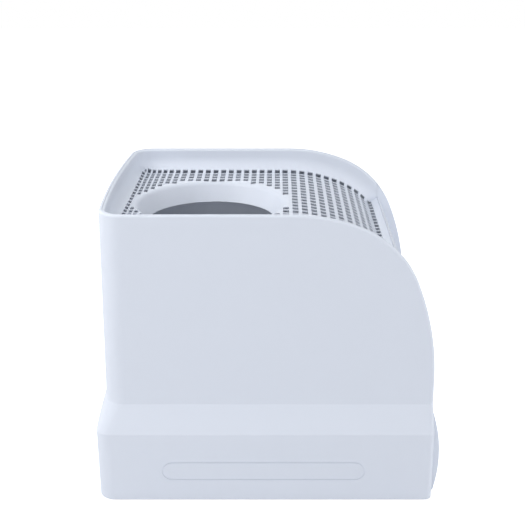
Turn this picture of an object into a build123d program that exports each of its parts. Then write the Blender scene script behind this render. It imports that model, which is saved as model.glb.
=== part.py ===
from build123d import *
import os
from math import sin, cos, tan, radians, degrees, hypot

# Drawer litter box with a sunk, perforated top, a round top entrance and a drawer in its right end.
# Frame: +X towards the drawer front, +Z up, Y across. The origin is under the middle, on the floor.
# All sizes are in millimetres.

# ---- overall size ----
length = 526.4          # left end of the base to the crown of the drawer front
base_width = 449.0
total_height = 451.0
wall = 3.0              # moulded wall of base, housing and drawer front

# ---- base shell ----
foot_height = 1.5       # the base stands this far above the floor
base_floor = 3.0
seam_height = 114.0     # the housing sits on the base here
base_corner_r = 24.0
end_bow = 9.0           # how far the left end stands out in its middle
edge_r = 9.0            # round-over of the base's front corners
bottom_edge_r = 3.0
cheek_width = 12.5      # cheek beside the drawer mouth, seen from the front
drawer_proud = 9.7      # the drawer front's crown stands this far in front of the cheeks
sill_height = 6.5
grip_length = 307.0     # stadium-shaped groove on each long side
grip_height = 31.0
grip_groove = 1.8
grip_depth = 1.0
grip_centre_x = -3.2
grip_centre_z = 52.7

# ---- housing ----
shoulder_height = 158.0     # top of the sloped shoulder
shoulder_inset = 15.0
shoulder_corner_r = 30.0
cheek_setback = 3.0         # the housing's cheek stands this far behind the base's cheek
rim_corner_r = 38.0
draft_angle = 0.8
rim_width = 4.7
rim_edge_r = 4.0            # round-over of the rim and of the cheeks' front edges
rim_depth = 8.2             # solid depth of the rim
side_arcs = [(254.4, 22.7), (153.8, 45.6), (404.0, 21.7)]   # brow of the cheeks: (radius, turn)
tongue_depth = 8.0
tongue_wall = 2.5
snap_length = 22.0
snap_height = 2.5
snap_bite = 1.0
snap_places = [-150.0, 0.0, 150.0]

# ---- perforated lid ----
lid_wall = 1.5
lid_drop = 0.6              # the lid's flange lies this far below the rim
flange_depth = 4.5
flange_edge_r = 3.5         # the flange rolls over into the tray's walls
ledge_width = 2.5
lid_gap = 0.4               # gap around the lid
seat_gap = 0.3              # gap between curved faces that seat on each other
tray_depth = 38.0
tray_fillet_r = 23.0
ramp_arcs = [(257.5, 22.9), (139.1, 39.8), (253.1, 27.3)]   # sunk ramp: (radius, turn)
ramp_setback = 24.0         # the ramp's arcs would be plumb this far behind the cheeks
land_drop = 94.0            # level foot of the ramp, below the rim
land_start = 69.5           # cheeks' front to the foot's lowest line
land_r = 29.0               # from there the land rises to the lid's end
front_depth = 14.0          # sunk front face behind the cheeks
ramp_end_setback = 53.0     # cheeks' front to the line where the lid ends and the housing goes on
lip_reach = 8.0
lintel = 3.5                # web over the drawer mouth

# ---- entrance ----
entrance_from_end = 146.0   # tray's end wall to the middle of the entrance
entrance_r = 102.8
entrance_drop = 31.6        # the collar hangs this far below the plate
collar_slope = 63.0
collar_bend = 12.0

# ---- perforations ----
hole_long = 13.4            # across the box
hole_share = 0.63           # hole length along the box as a share of the column pitch
row_pitch = 17.0
row_margin = 2.0
flat_pitch = 13.6
ramp_pitch = 14.85
ramp_columns = 11
foot_column_run = 1.7       # last column past the foot's lowest line
foot_column_width = 7.0
first_column_run = 2.6      # first column past the line where the ramp begins
crowded_span = 96.5         # the columns close up over this length at the tray's end
crowding = 0.93
end_margin = 14.0
corner_margin = 8.5         # perforations nearer than this to the tray's rounded corners are smaller
corner_share = 0.6
corner_shift = 1.8
cutter_height = 24.0

# ---- litter pan ----
pan_wall = 2.5
pan_floor = 2.5
pan_end_room = 25.2         # base's left end to the pan
pan_side_room = 15.0        # pan's side to the edge of its flange, room for the rollers
pan_bottom = 8.0
pan_headroom = 3.0          # pan's rim below the seam
pan_corner_r = 34.0
pan_bottom_r = 12.0
pan_flange = 3.0
rear_flange = 6.0

# ---- drawer front ----
panel_bottom = 9.0
panel_rise = 28.0           # the panel's top above the seam
panel_depth = 27.5          # cheeks' front to the pan
mouth_gap = 1.0
crown_height = 66.0
panel_corner_r = 5.0
top_setback = 0.6           # the panel's top edge against the cheek
hook_room = 1.0
hook_wall = 2.5
hook_lip = 8.0
hook_gap = 0.3
pull_length = 150.0
pull_height = 28.0
pull_centre_z = 80.0
pull_hook_room = 11.0       # finger room above the mouth of the pull
pull_depth = 24.0
pull_wall = 2.5

# ---- rollers and tracks ----
travel = 330.0
roller_r = 10.0
roller_width = 8.0
roller_rim_r = 1.0
pin_r = 2.5
pin_clearance = 0.08
pin_head_r = 4.5
pin_head = 1.2
side_play = 0.4
pin_seat = 6.0
boss_r = 7.0
track_drop = 25.0           # pan's rim to the tracks
track_wall = 3.0
track_side_gap = 4.0
track_run_on = 17.0
track_lip = 5.0
mouth_roller_back = 14.0    # pan's front to the mouth rollers
rear_roller_in = 23.0       # pan's rear to the rear rollers
pan_boss = 5.0
mouth_boss = 10.0

# ---- feet ----
foot_r = 11.0
foot_pocket = 1.5
foot_fit = 0.2
foot_inset_x = 42.0
foot_inset_y = 34.0

# ---- worked out from the sizes above ----
base_left = -length / 2
crown_x = length / 2
cheek_x = crown_x - drawer_proud
half_width = base_width / 2
hood_half_width = half_width - shoulder_inset
hood_left = base_left + shoulder_inset
hood_front = cheek_x - cheek_setback
lean = (total_height - shoulder_height) * tan(radians(draft_angle))
rim_half_width = hood_half_width - lean
rim_left = hood_left + lean
tray_inset = rim_width + lid_gap + ledge_width + lid_wall
tray_half_width = rim_half_width - tray_inset
tray_corner_r = rim_corner_r - tray_inset
plate_height = total_height - tray_depth
mouth_half_width = half_width - cheek_width
shoulder_slope = shoulder_inset / (shoulder_height - seam_height)
panel_top = seam_height + panel_rise
mouth_top = panel_top + mouth_gap
lintel_height = mouth_top + lintel
base_bottom = foot_height
base_top_of_floor = foot_height + base_floor
tray_left = rim_left + tray_inset
ramp_end_x = hood_front - ramp_end_setback
land_x = hood_front - land_start
land_z = total_height - land_drop
entrance_x = tray_left + entrance_from_end
bend_turn = radians(collar_slope)
collar_r = (entrance_r + (entrance_drop - collar_bend * (1 - cos(bend_turn))) / tan(bend_turn)
            + collar_bend * sin(bend_turn))
row_count = 2 * int((tray_half_width - row_margin) / row_pitch)
flange_half_width = mouth_half_width - mouth_gap
pan_half_width = flange_half_width - pan_side_room
pan_left = base_left + pan_end_room
pan_front_x = cheek_x - panel_depth
pan_top = seam_height - pan_headroom
hook_height = pan_top + hook_room
track_height = pan_top - track_drop
track_inner_y = pan_half_width + track_side_gap
mouth_roller_x = pan_front_x - mouth_roller_back
rear_roller_x = pan_left + rear_roller_in
track_start = rear_roller_x - track_run_on
far = 600.0             # longer than the object, for cutting tools


def plan(left, right, half, left_r, right_r=0.0, bow=0.0):
    """Plan outline: a box with a bowed left end, rounded left corners and rounded right corners."""
    corner_x = left + bow
    edges = [Line((corner_x, half), (right, half)), Line((right, half), (right, -half)),
             Line((right, -half), (corner_x, -half))]
    if bow > 0:
        edges.append(ThreePointArc((corner_x, -half), (left, 0), (corner_x, half)))
    else:
        edges.append(Line((corner_x, -half), (corner_x, half)))
    face = make_face(edges)
    middle = (left + right) / 2
    left_points = [v for v in face.vertices() if v.X < middle]
    face = fillet(left_points, left_r)
    if right_r > 0:
        right_points = [v for v in face.vertices() if v.X > right - 0.01]
        face = fillet(right_points, right_r)
    return face


def raised(face, z, height):
    """A plan outline stood up from z."""
    return extrude(Pos(0, 0, z) * face, height)


def brow(front_x, top_z, arcs, inset=0.0):
    """Tangent arcs that fall from level at top_z to plumb at front_x, moved inwards by inset."""
    turns = [radians(t) for _, t in arcs]
    turns[-1] = radians(90) - sum(turns[:-1])
    start = 0.0
    run = 0.0
    for (radius, _), turn in zip(arcs, turns):
        run += radius * (sin(start + turn) - sin(start))
        start += turn
    angle = 0.0
    centre_x = front_x - run
    centre_z = top_z - arcs[0][0]
    edges = []
    spans = []
    last_radius = arcs[0][0]
    for (radius, _), turn in zip(arcs, turns):
        centre_x += (last_radius - radius) * sin(angle)
        centre_z += (last_radius - radius) * cos(angle)
        last_radius = radius
        r = radius - inset
        ends = [(centre_x + r * sin(a), centre_z + r * cos(a)) for a in
                (angle, angle + turn / 2, angle + turn)]
        edges.append(ThreePointArc(*ends))
        spans.append((centre_x, centre_z, r, angle, angle + turn))
        angle += turn
    return edges, spans


def under(front_x, top_z, arcs, inset=0.0, floor_z=-50.0, left_x=-far):
    """Solid below a brow, right across the box."""
    edges, spans = brow(front_x, top_z, arcs, inset)
    x0, z0, r0, _, _ = spans[0]
    x1, z1, r1, _, _ = spans[-1]
    start = (x0, z0 + r0)
    end = (x1 + r1, z1)
    outline = edges + [Line(end, (end[0], floor_z)), Line((end[0], floor_z), (left_x, floor_z)),
                       Line((left_x, floor_z), (left_x, start[1])), Line((left_x, start[1]), start)]
    return extrude(Plane.XZ * make_face(outline), far / 2, both=True)


def over(front_x, top_z, arcs, inset=0.0):
    """Solid above and in front of a brow."""
    block = Pos(0, 0, far / 2) * Box(2 * far, far - 2, 2 * far)
    return block - under(front_x, top_z, arcs, inset, floor_z=-2 * far, left_x=-2 * far)


def block(x0, x1, y0, y1, z0, z1):
    """Box from its corners."""
    return Pos((x0 + x1) / 2, (y0 + y1) / 2, (z0 + z1) / 2) * Box(x1 - x0, y1 - y0, z1 - z0)


def both_sides(piece):
    """The piece and its mirror image across the box."""
    return [piece, mirror(piece, Plane.XZ)]


def stadium(length_x, height_z, centre_x, centre_z, y0, depth):
    """Full-round slot outline in the XZ plane, cut from y0 by depth along +Y."""
    sketch = Pos(centre_x, centre_z) * SlotOverall(length_x, height_z)
    return extrude(Plane.XZ.offset(-y0) * sketch, -depth)


def side_under(inset):
    return under(hood_front, total_height, side_arcs, inset)


def tray_plan(grow):
    """Outline of the lid's tray, parallel to the rim."""
    return plan(tray_left - grow, ramp_end_x + 60, tray_half_width + grow, tray_corner_r + grow,
                bow=end_bow)


def base_plan(inset=0.0, front_inset=0.0):
    return plan(base_left + inset, cheek_x - front_inset, half_width - inset, base_corner_r - inset,
                max(edge_r - inset, 0.5), end_bow)


def shoulder_plan(inset=0.0, front_r=0.0):
    return plan(hood_left + inset, hood_front - inset, hood_half_width - inset,
                shoulder_corner_r - inset, front_r, end_bow)


def rim_plan(inset=0.0):
    return plan(rim_left + inset, hood_front - inset, rim_half_width - inset, rim_corner_r - inset,
                0.0, end_bow)


# ---------------------------------------------------------------- base shell
def make_base():
    body = raised(base_plan(), base_bottom, seam_height - base_bottom)
    rim_edges = [e for e in body.edges() if e.center().Z < base_bottom + 0.01]
    body = fillet(rim_edges, bottom_edge_r)
    inner = raised(base_plan(wall, wall), base_top_of_floor, seam_height)
    body -= inner
    body -= block(cheek_x - 2 * wall, cheek_x + 1, -mouth_half_width, mouth_half_width,
                  base_bottom + sill_height, seam_height + 1)
    grip = stadium(grip_length, grip_height, grip_centre_x, grip_centre_z, half_width - grip_depth, wall)
    grip -= stadium(grip_length - 2 * grip_groove, grip_height - 2 * grip_groove, grip_centre_x,
                    grip_centre_z, half_width - 2 * wall, 4 * wall)
    body -= both_sides(grip)

    # tracks of the rear rollers, each ending in the lip that stops the drawer
    track_end = rear_roller_x + travel + roller_r + side_play
    inner_y = half_width - wall + 0.5
    track = block(track_start, track_end + track_wall, track_inner_y, inner_y,
                  track_height - track_wall, track_height)
    track += block(track_end, track_end + track_wall, track_inner_y, inner_y,
                   track_height - track_wall, track_height + track_lip)
    track -= block(-far, far, half_width - wall, half_width + 1, 0, seam_height)
    body += [raised(base_plan(wall), 0, seam_height) & piece for piece in both_sides(track)]

    # bosses of the mouth rollers
    boss_y = half_width - wall - mouth_boss
    boss = Pos(mouth_roller_x, boss_y, mouth_axle_z) * Rot(-90, 0, 0) * Cylinder(
        boss_r, mouth_boss + 0.5, align=(Align.CENTER, Align.CENTER, Align.MIN))
    seat = Pos(mouth_roller_x, boss_y - 1, mouth_axle_z) * Rot(-90, 0, 0) * Cylinder(
        pin_r + pin_clearance, pin_seat + 1, align=(Align.CENTER, Align.CENTER, Align.MIN))
    for piece in both_sides(boss):
        body += piece
    body -= both_sides(seat)

    # grooves for the housing's snap ribs
    groove_z = snap_height_z - 0.3
    for x in snap_places:
        groove = block(x - snap_length / 2 - 1, x + snap_length / 2 + 1, half_width - wall - 1,
                       half_width - wall + snap_bite + 0.3, groove_z, groove_z + snap_height + 0.6)
        body -= both_sides(groove)
    for x, y in foot_places:
        body -= Pos(x, y, base_bottom - 1) * Cylinder(
            foot_r + foot_fit, foot_pocket + 1, align=(Align.CENTER, Align.CENTER, Align.MIN))
    return body


# ---------------------------------------------------------------- housing
def make_hood():
    skirt = loft([Pos(0, 0, seam_height) * base_plan(),
                  Pos(0, 0, shoulder_height) * shoulder_plan(0, rim_edge_r)], ruled=True)
    tall = loft([Pos(0, 0, shoulder_height) * shoulder_plan(),
                 Pos(0, 0, total_height + 1) * rim_plan()], ruled=True)
    tall = tall & side_under(0)
    crest = [e for e in tall.edges() if on_crest(e)]
    tall = fillet(crest, rim_edge_r)
    body = skirt + tall

    # the hollow inside, below the rim
    low = loft([Pos(0, 0, seam_height) * base_plan(wall, wall),
                Pos(0, 0, shoulder_height) * shoulder_plan(wall, rim_edge_r - wall)], ruled=True)
    high = loft([Pos(0, 0, shoulder_height) * shoulder_plan(wall),
                 Pos(0, 0, total_height + 1) * rim_plan(wall)], ruled=True) & side_under(rim_depth)
    hollow = low + high
    front_block = block(ramp_end_x - wall, far, -far, far, lintel_height - lintel, far)
    front_skin = front_recess(wall) & front_block
    body -= hollow - front_skin
    body -= front_recess(0) & block(ramp_end_x, far, -far, far, lintel_height, far)

    # opening for the lid and the rabbet that its flange lies in
    span = block(-far, ramp_end_x, -far, far, shoulder_height, far)
    lip = under_lip()
    body -= (raised(tray_plan(lid_wall + lid_gap), shoulder_height, far) & span) - lip
    rabbet = raised(tray_plan(lid_wall + lid_gap + ledge_width), shoulder_height, far) & span
    rabbet &= over(hood_front, total_height, side_arcs, lid_drop + flange_depth + seat_gap)
    body -= rabbet
    body += lip

    # drawer mouth, which follows the shoulder's slope
    slope_half = mouth_half_width - shoulder_slope * (mouth_top - seam_height)
    mouth = make_face(Polyline((-mouth_half_width, seam_height - 1), (mouth_half_width, seam_height - 1),
                               (mouth_half_width, seam_height), (slope_half, mouth_top),
                               (-slope_half, mouth_top), (-mouth_half_width, seam_height), close=True))
    body -= Pos(hood_front - 8 * wall, 0, 0) * extrude(Plane.YZ * mouth, 16 * wall)

    # tongue that drops inside the base, with its snap ribs
    inset = wall + seat_gap
    tongue = raised(base_plan(inset), seam_height - tongue_depth, tongue_depth + wall)
    tongue -= raised(base_plan(inset + tongue_wall), 0, far)
    tongue &= block(-far, pan_front_x - 8 * wall, -far, far, 0, far)
    body += tongue
    for x in snap_places:
        rib = block(x - snap_length / 2, x + snap_length / 2, half_width - inset - 0.5,
                    half_width - wall + snap_bite, snap_height_z, snap_height_z + snap_height)
        for piece in both_sides(rib):
            body += piece
    return body


def on_crest(edge):
    """True for the outer edges of the rim and of the cheeks' brow."""
    middle = edge @ 0.5
    ends = [edge @ 0, edge @ 1]
    if min(p.Z for p in ends) < shoulder_height - 0.01 or middle.Z < shoulder_height + 0.01:
        return False
    across = max(p.Y for p in ends) - min(p.Y for p in ends)
    if across > 1.5 * rim_half_width:
        return middle.X < rim_left + 2 * end_bow
    return middle.X > 0 or middle.Z > total_height - 1


def front_recess(grow):
    """Sunk front between the cheeks, grown by one wall for the skin behind it."""
    half = tray_half_width + grow
    low = lintel_height - lintel if grow else lintel_height
    room = block(ramp_end_x - 4 * wall, far - 1, -half, half, low, far - 1)
    return room & over(hood_front, total_height, side_arcs, front_depth + grow)


def under_lip():
    """Strip of the housing that the lid's lower end lies on."""
    top = lid_wall + seat_gap
    strip = tray_volume(top + wall) - tray_volume(top)
    strip &= side_under(front_depth)
    return strip & block(ramp_end_x - lip_reach, ramp_end_x + 2 * wall, -far, far, shoulder_height, far)


# ---------------------------------------------------------------- perforated lid
def tray_volume(grow):
    """Space inside the lid's tray, grown by its wall for the outside of it."""
    tool = raised(tray_plan(grow), shoulder_height, far)
    tool &= over(hood_front - ramp_setback, plate_height, ramp_arcs, grow)
    edges = []
    for e in tool.edges():
        ends = [e @ 0, e @ 1]
        middle = e @ 0.5
        level = abs(ends[0].Z - ends[1].Z) < 0.01
        on_floor = all(abs(p.Z - (plate_height - grow)) < 0.01 for p in ends) and level
        crossing = abs(ends[0].Y - ends[1].Y) > tray_half_width and middle.X > tray_left + 5
        falling = abs(abs(middle.Y) - tray_half_width - grow) < 0.01 and not level
        upright = abs(ends[0].X - ends[1].X) < 0.01
        if (on_floor and not crossing) or (falling and not upright and middle.Z < total_height):
            edges.append(e)
    return fillet(edges, tray_fillet_r + grow) - below_land(grow)


def below_land(grow):
    """Solid below the ramp's level foot and the land that rises from it to the lid's end."""
    r = land_r + grow
    arc = [(land_x + r * sin(radians(a)), land_z + land_r - r * cos(radians(a))) for a in (0, 30, 60)]
    left = (land_x - 30, arc[0][1])
    low = shoulder_height - 1
    outline = [Line(left, arc[0]), ThreePointArc(*arc), Line(arc[2], (far, arc[2][1])),
               Line((far, arc[2][1]), (far, low)), Line((far, low), (left[0], low)),
               Line((left[0], low), left)]
    return extrude(Plane.XZ * make_face(outline), far / 2, both=True)


def flange_ring():
    """Flange of the lid; it rolls over into the tray's walls."""
    span = block(-far, ramp_end_x - lid_gap, -far, far, shoulder_height, far)
    inside = raised(tray_plan(0), shoulder_height, far)
    ring = raised(tray_plan(lid_wall + ledge_width), shoulder_height, far) & span
    ring &= side_under(lid_drop) - side_under(lid_drop + flange_depth)
    ring -= inside
    crests = [e @ 0.5 for e in (inside & side_under(lid_drop) & span).edges()]
    inner = [e for e in ring.edges() if any((e @ 0.5 - p).length < 0.01 for p in crests)]
    return fillet(inner, flange_edge_r)


def collar_profile():
    """Section of the collar round the entrance, to be turned about its axis: a bend, a cone, a lip."""
    z0 = plate_height
    tilt = radians(collar_slope)

    def on_bend(turn, depth):
        r = collar_bend - depth
        return (collar_r - r * sin(turn), z0 - collar_bend + r * cos(turn))

    outer = [on_bend(turn, 0) for turn in (0, tilt / 2, tilt)]
    inner = [on_bend(turn, lid_wall) for turn in (tilt, tilt / 2, 0)]
    lip_top = (entrance_r, z0 - entrance_drop)
    lip_low = (lip_top[0] + lid_wall * sin(tilt), lip_top[1] - lid_wall * cos(tilt))
    half = lid_wall / 2
    lip_mid = (lip_top[0] + half * (sin(tilt) - cos(tilt)), lip_top[1] - half * (cos(tilt) + sin(tilt)))
    edge = collar_r + 1
    return make_face([Line((edge, z0), outer[0]), ThreePointArc(*outer), Line(outer[2], lip_top),
                      ThreePointArc(lip_top, lip_mid, lip_low), Line(lip_low, inner[0]),
                      ThreePointArc(*inner), Line(inner[2], (edge, z0 - lid_wall)),
                      Line((edge, z0 - lid_wall), (edge, z0))])


def hole_columns():
    """Columns of perforations as (x, z, slope in degrees, width), from the left end to the ramp's foot."""
    columns = []
    _, spans = brow(hood_front - ramp_setback, plate_height, ramp_arcs)
    x = spans[0][0] + first_column_run - flat_pitch
    pitch = flat_pitch
    while x > tray_left + end_margin:
        columns.append((x, plate_height, 0.0, hole_share * pitch))
        if x < tray_left + crowded_span:
            pitch *= crowding
        x -= pitch
    for i in range(ramp_columns):
        run = first_column_run + i * ramp_pitch
        for cx, cz, r, a0, a1 in spans:
            if run <= r * (a1 - a0):
                a = a0 + run / r
                columns.append((cx + r * sin(a), cz + r * cos(a), degrees(a), hole_share * ramp_pitch))
                break
            run -= r * (a1 - a0)
    columns.append((land_x + foot_column_run, land_z, 0.0, foot_column_width))
    return columns


def in_corner(x, y):
    """True where a full perforation would run into the rounded corners of the tray's end."""
    corner_x = tray_left + end_bow + tray_corner_r
    corner_y = tray_half_width - tray_corner_r
    past = (max(corner_x - x, 0.0), max(abs(y) - corner_y, 0.0))
    return min(past) > 0 and hypot(*past) > tray_corner_r - corner_margin


def make_lid():
    shell = tray_volume(lid_wall) - tray_volume(0)
    shell &= side_under(lid_drop + flange_depth - 0.5)
    shell &= block(-far, ramp_end_x - lid_gap, -far, far, 0, far)
    body = shell + flange_ring()

    axis = Pos(entrance_x, 0, 0)
    body -= axis * Cylinder(collar_r + 1, 2 * far)
    body += axis * revolve(Plane.XZ * collar_profile(), Axis.Z)

    holes = []
    for x, z, slope, width in hole_columns():
        for row in range(row_count):
            y = (row - (row_count - 1) / 2) * row_pitch
            if hypot(x - entrance_x, y) < collar_r:
                continue
            if in_corner(x, y):
                shift = corner_shift if y < 0 else -corner_shift
                holes.append(Pos(x + corner_shift, y + shift, z) * Box(
                    corner_share * width, corner_share * hole_long, cutter_height))
            else:
                holes.append(Pos(x, y, z) * Rot(0, slope, 0) * Box(width, hole_long, cutter_height))
    return body - holes


# ---------------------------------------------------------------- litter pan
def make_pan():
    body = raised(plan(pan_left, pan_front_x, pan_half_width, pan_corner_r, pan_corner_r / 2),
                  pan_bottom, pan_top - pan_bottom)
    body = fillet([e for e in body.edges() if e.center().Z < pan_bottom + 0.01], pan_bottom_r)
    flange = raised(plan(pan_left - rear_flange, pan_front_x, flange_half_width,
                         pan_corner_r + rear_flange), pan_top - pan_flange, pan_flange)
    body += flange
    hollow = raised(plan(pan_left + pan_wall, pan_front_x - pan_wall, pan_half_width - pan_wall,
                         pan_corner_r - pan_wall, pan_corner_r / 2 - pan_wall),
                    pan_bottom + pan_floor, pan_top)
    hollow = fillet([e for e in hollow.edges() if e.center().Z < pan_bottom + pan_floor + 0.01],
                    pan_bottom_r - pan_wall)
    body -= hollow
    boss = Pos(rear_roller_x, pan_half_width - 0.5, rear_axle_z) * Rot(-90, 0, 0) * Cylinder(
        boss_r, pan_boss + 0.5, align=(Align.CENTER, Align.CENTER, Align.MIN))
    seat = Pos(rear_roller_x, pan_half_width, rear_axle_z) * Rot(-90, 0, 0) * Cylinder(
        pin_r + pin_clearance, pan_boss + 1, align=(Align.CENTER, Align.CENTER, Align.MIN))
    for piece in both_sides(boss):
        body += piece
    body -= both_sides(seat)
    return body


# ---------------------------------------------------------------- drawer front
def panel_block(inset):
    """Drawer front's outer form: a bulged face, cut to the outline of the mouth."""
    low = panel_bottom + inset
    high = panel_top - inset
    crown = crown_x - inset
    foot_x = cheek_x + 2.0 - inset
    head_x = hood_front + 2.4 - top_setback - inset
    face = ThreePointArc((foot_x, low), (crown, crown_height), (head_x, high))
    back = pan_front_x + hook_gap
    side = make_face([face, Line((head_x, high), (back, high)), Line((back, high), (back, low)),
                      Line((back, low), (foot_x, low))])
    bulge = extrude(Plane.XZ * side, far / 2, both=True)
    half = mouth_half_width - mouth_gap - inset
    top_half = half - shoulder_slope * (high - seam_height)
    outline = make_face(Polyline((-half, low), (half, low), (half, seam_height), (top_half, high),
                                 (-top_half, high), (-half, seam_height), close=True))
    outline = fillet(outline.vertices(), panel_corner_r)
    return bulge & extrude(Plane.YZ * outline, far / 2)


def make_panel():
    body = panel_block(0)
    body -= panel_block(wall)

    # pull: a stadium mouth in the face and a cup behind it with room for the finger tips
    low = pull_centre_z - pull_height / 2
    high = pull_centre_z + pull_height / 2 + pull_hook_room
    cup_back = crown_x - wall - pull_depth
    half = pull_length / 2
    cup = block(cup_back - pull_wall, crown_x, -half - pull_wall, half + pull_wall,
                low - pull_wall, high + pull_wall)
    cup &= panel_block(0.5)
    body += cup
    room = block(cup_back, crown_x, -half, half, low, high) & panel_block(wall)
    body -= room
    opening = Pos(0, pull_centre_z) * SlotOverall(pull_length, pull_height)
    body -= Pos(cup_back + pull_depth / 2, 0, 0) * extrude(Plane.YZ * opening, far / 2)

    # web that hooks over the pan's front wall
    web_half = pan_half_width - pan_corner_r / 2
    lip_x = pan_front_x - pan_wall - hook_gap - hook_wall
    web = block(lip_x, crown_x, -web_half, web_half, hook_height, hook_height + hook_wall)
    web &= panel_block(0.5) + block(lip_x, cheek_x - wall, -far, far, 0, far)
    web += block(lip_x, lip_x + hook_wall, -web_half, web_half, hook_height - hook_lip, hook_height)
    return body + web


# ---------------------------------------------------------------- rollers, pins and feet
def make_roller(x, y_inner, axle_z):
    """Roller with its bore across the box; y_inner is its face towards the pan."""
    ring = Cylinder(roller_r, roller_width) - Cylinder(pin_r + pin_clearance, roller_width + 2)
    rims = [e for e in ring.edges().filter_by(GeomType.CIRCLE) if e.radius > pin_r + 1]
    ring = fillet(rims, roller_rim_r)
    return Pos(x, y_inner + roller_width / 2, axle_z) * Rot(90, 0, 0) * ring


def make_pin(x, y_seat, axle_z, outwards):
    """Headed pin: its blind end sits in a boss at y_seat, its head is past the roller."""
    sign = 1 if outwards else -1
    seat = pan_boss - 0.5 if outwards else pin_seat - 0.5
    reach = roller_width + 2 * side_play
    shaft = Cylinder(pin_r, seat + reach, align=(Align.CENTER, Align.CENTER, Align.MIN))
    shaft = Pos(0, 0, -seat) * shaft
    shaft += Pos(0, 0, reach) * Cylinder(pin_head_r, pin_head,
                                         align=(Align.CENTER, Align.CENTER, Align.MIN))
    return Pos(x, y_seat, axle_z) * Rot(-90 * sign, 0, 0) * shaft


def make_foot(x, y):
    pad = Cylinder(foot_r, foot_height + foot_pocket, align=(Align.CENTER, Align.CENTER, Align.MIN))
    lower = [e for e in pad.edges() if e.center().Z < 0.01]
    return Pos(x, y, 0) * chamfer(lower, foot_height / 3)


mouth_axle_z = pan_top - pan_flange - seat_gap - roller_r
rear_axle_z = track_height + seat_gap + roller_r
snap_height_z = seam_height - tongue_depth + 2.0
foot_places = [(base_left + end_bow + foot_inset_x, half_width - foot_inset_y),
               (base_left + end_bow + foot_inset_x, -half_width + foot_inset_y),
               (cheek_x - foot_inset_x, half_width - foot_inset_y),
               (cheek_x - foot_inset_x, -half_width + foot_inset_y)]
mouth_boss_y = half_width - wall - mouth_boss
rear_boss_y = pan_half_width + pan_boss

os.makedirs("parts", exist_ok=True)


def save(name, shape):
    export_step(shape, f"parts/{name}.step")


save("base_shell", make_base())
save("hood", make_hood())
save("perforated_lid", make_lid())
save("litter_pan", make_pan())
save("drawer_front", make_panel())

mouth_roller = make_roller(mouth_roller_x, mouth_boss_y - side_play - roller_width, mouth_axle_z)
rear_roller = make_roller(rear_roller_x, rear_boss_y + side_play, rear_axle_z)
for side, piece in zip(("left", "right"), both_sides(mouth_roller)):
    save(f"mouth_roller_{side}", piece)
for side, piece in zip(("left", "right"), both_sides(rear_roller)):
    save(f"rear_roller_{side}", piece)
mouth_pin = make_pin(mouth_roller_x, mouth_boss_y, mouth_axle_z, outwards=False)
rear_pin = make_pin(rear_roller_x, rear_boss_y, rear_axle_z, outwards=True)
save("mouth_roller_pins", Compound(both_sides(mouth_pin)))
save("rear_roller_pins", Compound(both_sides(rear_pin)))
save("rubber_feet", Compound([make_foot(x, y) for x, y in foot_places]))
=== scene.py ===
# %% [markdown]
# # A drawer litter box, dressed for a studio picture
#
# The solids of this box were made in CAD and come in as a fixed frame: a base with a drawer, a tall
# housing, a sunk lid with slots and a round way in, a pan, four rollers and four feet. Their forms
# stay as they are. Here they get their finishes, and a floor, lamps and a camera.

import math

import bpy
import numpy as np
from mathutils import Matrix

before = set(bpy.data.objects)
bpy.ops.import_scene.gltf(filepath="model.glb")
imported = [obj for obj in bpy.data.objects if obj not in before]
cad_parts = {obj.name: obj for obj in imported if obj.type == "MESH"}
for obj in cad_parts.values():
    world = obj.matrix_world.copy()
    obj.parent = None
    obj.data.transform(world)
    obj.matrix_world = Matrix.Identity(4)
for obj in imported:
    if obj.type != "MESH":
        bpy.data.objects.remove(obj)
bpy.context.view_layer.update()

# %% [markdown]
# ## Colours
#
# A colour picked by eye on a screen is an sRGB value, and Blender's shaders want linear light.
# One function turns a hex value into linear, so every colour below can be written as it looks.

# %% Hex colour to linear light
MM = 0.001


def srgb(hex_value):
    """A hex colour as linear RGBA: c/12.92 below 0.04045, else ((c + 0.055)/1.055) to the power 2.4."""
    c = np.array([int(hex_value[i:i + 2], 16) for i in (1, 3, 5)]) / 255.0
    linear = np.where(c <= 0.04045, c / 12.92, ((c + 0.055) / 1.055) ** 2.4)
    return (*[float(v) for v in linear], 1.0)


# %% [markdown]
# ## Plastics
#
# The walls are moulded polypropylene, coloured a cool blue-white in the pellet. The mould was
# spark-eroded to a fine satin texture, so its gloss is broad and weak and its colour carries the
# look. Polypropylene's IOR is 1.49. A little light goes in and comes out beside where it went in,
# so shadows on thin rims stay soft. That is a small subsurface weight with a radius of about 1 mm.

# %% One helper that adds a node, sets it and links it
def add(tree, kind, settings=None, links=None):
    """A node of that kind. settings: sockets or properties by name; links: socket -> other socket."""
    node = tree.nodes.new(kind)
    for name, value in (settings or {}).items():
        if name in node.inputs:
            node.inputs[name].default_value = value
        else:
            setattr(node, name, value)
    for name, source in (links or {}).items():
        tree.links.new(source, node.inputs[name])
    return node


PLASTIC_IOR = 1.49
SPREAD_MM = 1.2     # how far light spreads inside the plastic


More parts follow.
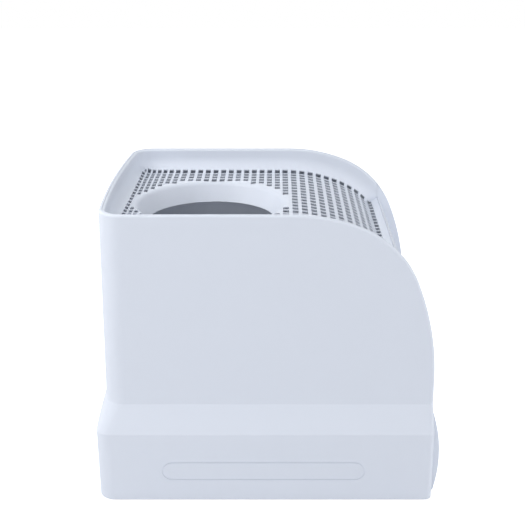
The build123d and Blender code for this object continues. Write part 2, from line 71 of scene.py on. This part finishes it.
def moulded(name, colour, roughness, grain_mm, relief_mm, inner_light=0.0):
    """A moulded plastic: plain colour, and a spark-eroded texture of that grain and relief."""
    mat = bpy.data.materials.new(name)
    mat.use_nodes = True
    tree = mat.node_tree
    tree.nodes.clear()
    where = add(tree, "ShaderNodeTexCoord")
    grain = add(tree, "ShaderNodeTexNoise", {"Scale": 1.0 / (grain_mm * MM), "Detail": 2.0,
                                             "Roughness": 0.5}, {"Vector": where.outputs["Object"]})
    bump = add(tree, "ShaderNodeBump", {"Distance": relief_mm * MM, "Strength": 1.0},
               {"Height": grain.outputs["Fac"]})
    body = add(tree, "ShaderNodeBsdfPrincipled",
               {"Base Color": srgb(colour), "Roughness": roughness, "IOR": PLASTIC_IOR,
                "Subsurface Weight": inner_light, "Subsurface Radius": (1.0, 1.0, 1.0),
                "Subsurface Scale": SPREAD_MM * MM},
               {"Normal": bump.outputs["Normal"]})
    add(tree, "ShaderNodeOutputMaterial", links={"Surface": body.outputs["BSDF"]})
    print("material:", name)
    return mat


# %% The finishes
# The texture of such a mould is about 0.1 mm; 0.8 mm is as fine as the picture can carry.
satin_pp_blue_white = moulded("satin polypropylene, blue-white", "#DFE4EE", 0.42, 0.8, 0.006, 0.08)
satin_pp_dark_grey = moulded("satin polypropylene, dark grey", "#4A4F56", 0.46, 0.8, 0.006)
acetal_grey = moulded("acetal, grey", "#A9ADB2", 0.32, 0.6, 0.003)
rubber_black = moulded("moulded rubber, black", "#1D1E20", 0.75, 0.7, 0.01)
zinc_plated_steel = bpy.data.materials.new("zinc plated steel")
zinc_plated_steel.use_nodes = True
steel = zinc_plated_steel.node_tree.nodes["Principled BSDF"]
steel.inputs["Base Color"].default_value = srgb("#B9BBBE")
steel.inputs["Metallic"].default_value = 1.0
steel.inputs["Roughness"].default_value = 0.3

FINISH = {
    "base_shell": satin_pp_blue_white,
    "hood": satin_pp_blue_white,
    "perforated_lid": satin_pp_blue_white,
    "drawer_front": satin_pp_blue_white,
    "litter_pan": satin_pp_dark_grey,
    "mouth_roller_left": acetal_grey,
    "mouth_roller_right": acetal_grey,
    "rear_roller_left": acetal_grey,
    "rear_roller_right": acetal_grey,
    "mouth_roller_pins": zinc_plated_steel,
    "rear_roller_pins": zinc_plated_steel,
    "rubber_feet": rubber_black,
}
for node, finish in FINISH.items():
    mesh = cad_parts[node].data
    mesh.materials.clear()
    mesh.materials.append(finish)
print("dressed nodes:", len(FINISH))

# %% [markdown]
# ## Floor and backdrop
#
# A wide white floor. For the camera's own rays it also glows, through Light Path, so it shows as
# plain white and the box doesn't need more light for that. All other rays see a matt floor, which
# throws some light back up at the walls.

# %% The floor
FLOOR_HALF = 6.0
FLOOR_GLOW = 0.85
floor_mesh = bpy.data.meshes.new("studio_floor")
floor_mesh.from_pydata([(-FLOOR_HALF, -FLOOR_HALF, 0), (FLOOR_HALF, -FLOOR_HALF, 0),
                        (FLOOR_HALF, FLOOR_HALF, 0), (-FLOOR_HALF, FLOOR_HALF, 0)], [], [(0, 1, 2, 3)])
floor = bpy.data.objects.new("studio_floor", floor_mesh)
bpy.context.collection.objects.link(floor)

white_floor = bpy.data.materials.new("white studio floor")
white_floor.use_nodes = True
tree = white_floor.node_tree
tree.nodes.clear()
matt = add(tree, "ShaderNodeBsdfDiffuse", {"Color": (0.8, 0.8, 0.81, 1.0)})
bright = add(tree, "ShaderNodeEmission", {"Color": (1, 1, 1, 1), "Strength": FLOOR_GLOW})
lit = add(tree, "ShaderNodeAddShader", links={0: matt.outputs["BSDF"], 1: bright.outputs["Emission"]})
path = add(tree, "ShaderNodeLightPath")
seen = add(tree, "ShaderNodeMixShader", links={0: path.outputs["Is Camera Ray"], 1: matt.outputs["BSDF"],
                                               2: lit.outputs["Shader"]})
add(tree, "ShaderNodeOutputMaterial", links={"Surface": seen.outputs["Shader"]})
floor_mesh.materials.append(white_floor)
print("floor, m:", 2 * FLOOR_HALF, "square")

# %% [markdown]
# ## Light
#
# Soft and nearly shadowless. An even world gives half of the light. The key comes from the upper
# left and makes the left end and its corner the brightest. Weaker lamps fill the near wall from
# two heights, the tray's walls from the far side, and the drawer's bulge from the right.
#
# The powers were not guessed one by one. Light adds up, so the box was first rendered under each
# lamp alone. Then a least-squares solve with no negative powers gave the mix whose tones come
# nearest to the picture's, and the last steps were made after that.

# %% The world
WORLD_STRENGTH = 0.49
world = bpy.data.worlds.new("studio world")
bpy.context.scene.world = world
world.use_nodes = True
tree = world.node_tree
tree.nodes.clear()
path = add(tree, "ShaderNodeLightPath")
soft = add(tree, "ShaderNodeBackground", {"Color": (0.93, 0.96, 1.0, 1.0),
                                          "Strength": WORLD_STRENGTH})
white = add(tree, "ShaderNodeBackground", {"Color": (1, 1, 1, 1), "Strength": 1.0})
sky = add(tree, "ShaderNodeMixShader", links={0: path.outputs["Is Camera Ray"], 1: soft.outputs["Background"],
                                              2: white.outputs["Background"]})
add(tree, "ShaderNodeOutputWorld", links={"Surface": sky.outputs["Shader"]})


# %% The lamps
def soft_box(name, place, target, size_m, power_w):
    """A square white area lamp at place that faces target."""
    lamp = bpy.data.lights.new(name, "AREA")
    lamp.size = size_m
    lamp.energy = power_w
    obj = bpy.data.objects.new(name, lamp)
    bpy.context.collection.objects.link(obj)
    obj.location = place
    away = np.array(place) - np.array(target)
    obj.rotation_euler = (math.atan2(math.hypot(away[0], away[1]), away[2]), 0.0,
                          math.atan2(away[0], -away[1]))


# name, place, target, side in m, power in W
LAMPS = [
    ("key_from_the_upper_left", (-1.7, -0.5, 1.5), (-0.1, 0, 0.25), 1.2, 10.5),
    ("light_from_above_the_left", (-1.0, -0.4, 2.0), (0, 0, 0.3), 1.0, 10),
    ("edge_light_from_the_far_left", (-1.8, 0.9, 0.8), (-0.2, 0, 0.25), 1.0, 8),
    ("fill_from_the_near_side", (-0.3, -1.9, 1.9), (0, 0, 0.25), 1.5, 8),
    ("low_fill_from_the_near_side", (0.1, -2.2, 0.45), (0, 0, 0.15), 1.5, 5),
    ("light_from_the_far_side", (0.1, 1.5, 1.6), (0, 0, 0.3), 1.0, 4),
    ("low_light_from_the_right", (1.8, -0.3, 0.35), (0.1, 0, 0.2), 1.0, 9),
    ("light_from_the_right", (1.7, -0.1, 1.0), (0.1, 0, 0.25), 1.2, 3),
]
for lamp_row in LAMPS:
    soft_box(*lamp_row)
print("lamps:", len(LAMPS), "with", sum(row[-1] for row in LAMPS), "W in all")

# %% [markdown]
# ## Camera
#
# The near wall is seen almost square on and from a little above. The place, lens and pitch come
# from lining up the rim, the seam and the base's corners with the picture.

# %% The camera
CAMERA_PITCH = 19.78
camera = bpy.data.cameras.new("studio_camera")
camera.sensor_width = 36.0
camera.lens = 67.7
camera.shift_x = -0.0295
camera_object = bpy.data.objects.new("studio_camera", camera)
bpy.context.collection.objects.link(camera_object)
camera_object.location = (0.0187, -1.523, 0.855)
camera_object.rotation_euler = (math.radians(90.0 - CAMERA_PITCH), 0.0, 0.0)
bpy.context.scene.camera = camera_object
bpy.context.scene.view_settings.view_transform = "Standard"
print("camera: lens", camera.lens, "mm, tilted down", CAMERA_PITCH, "degrees")
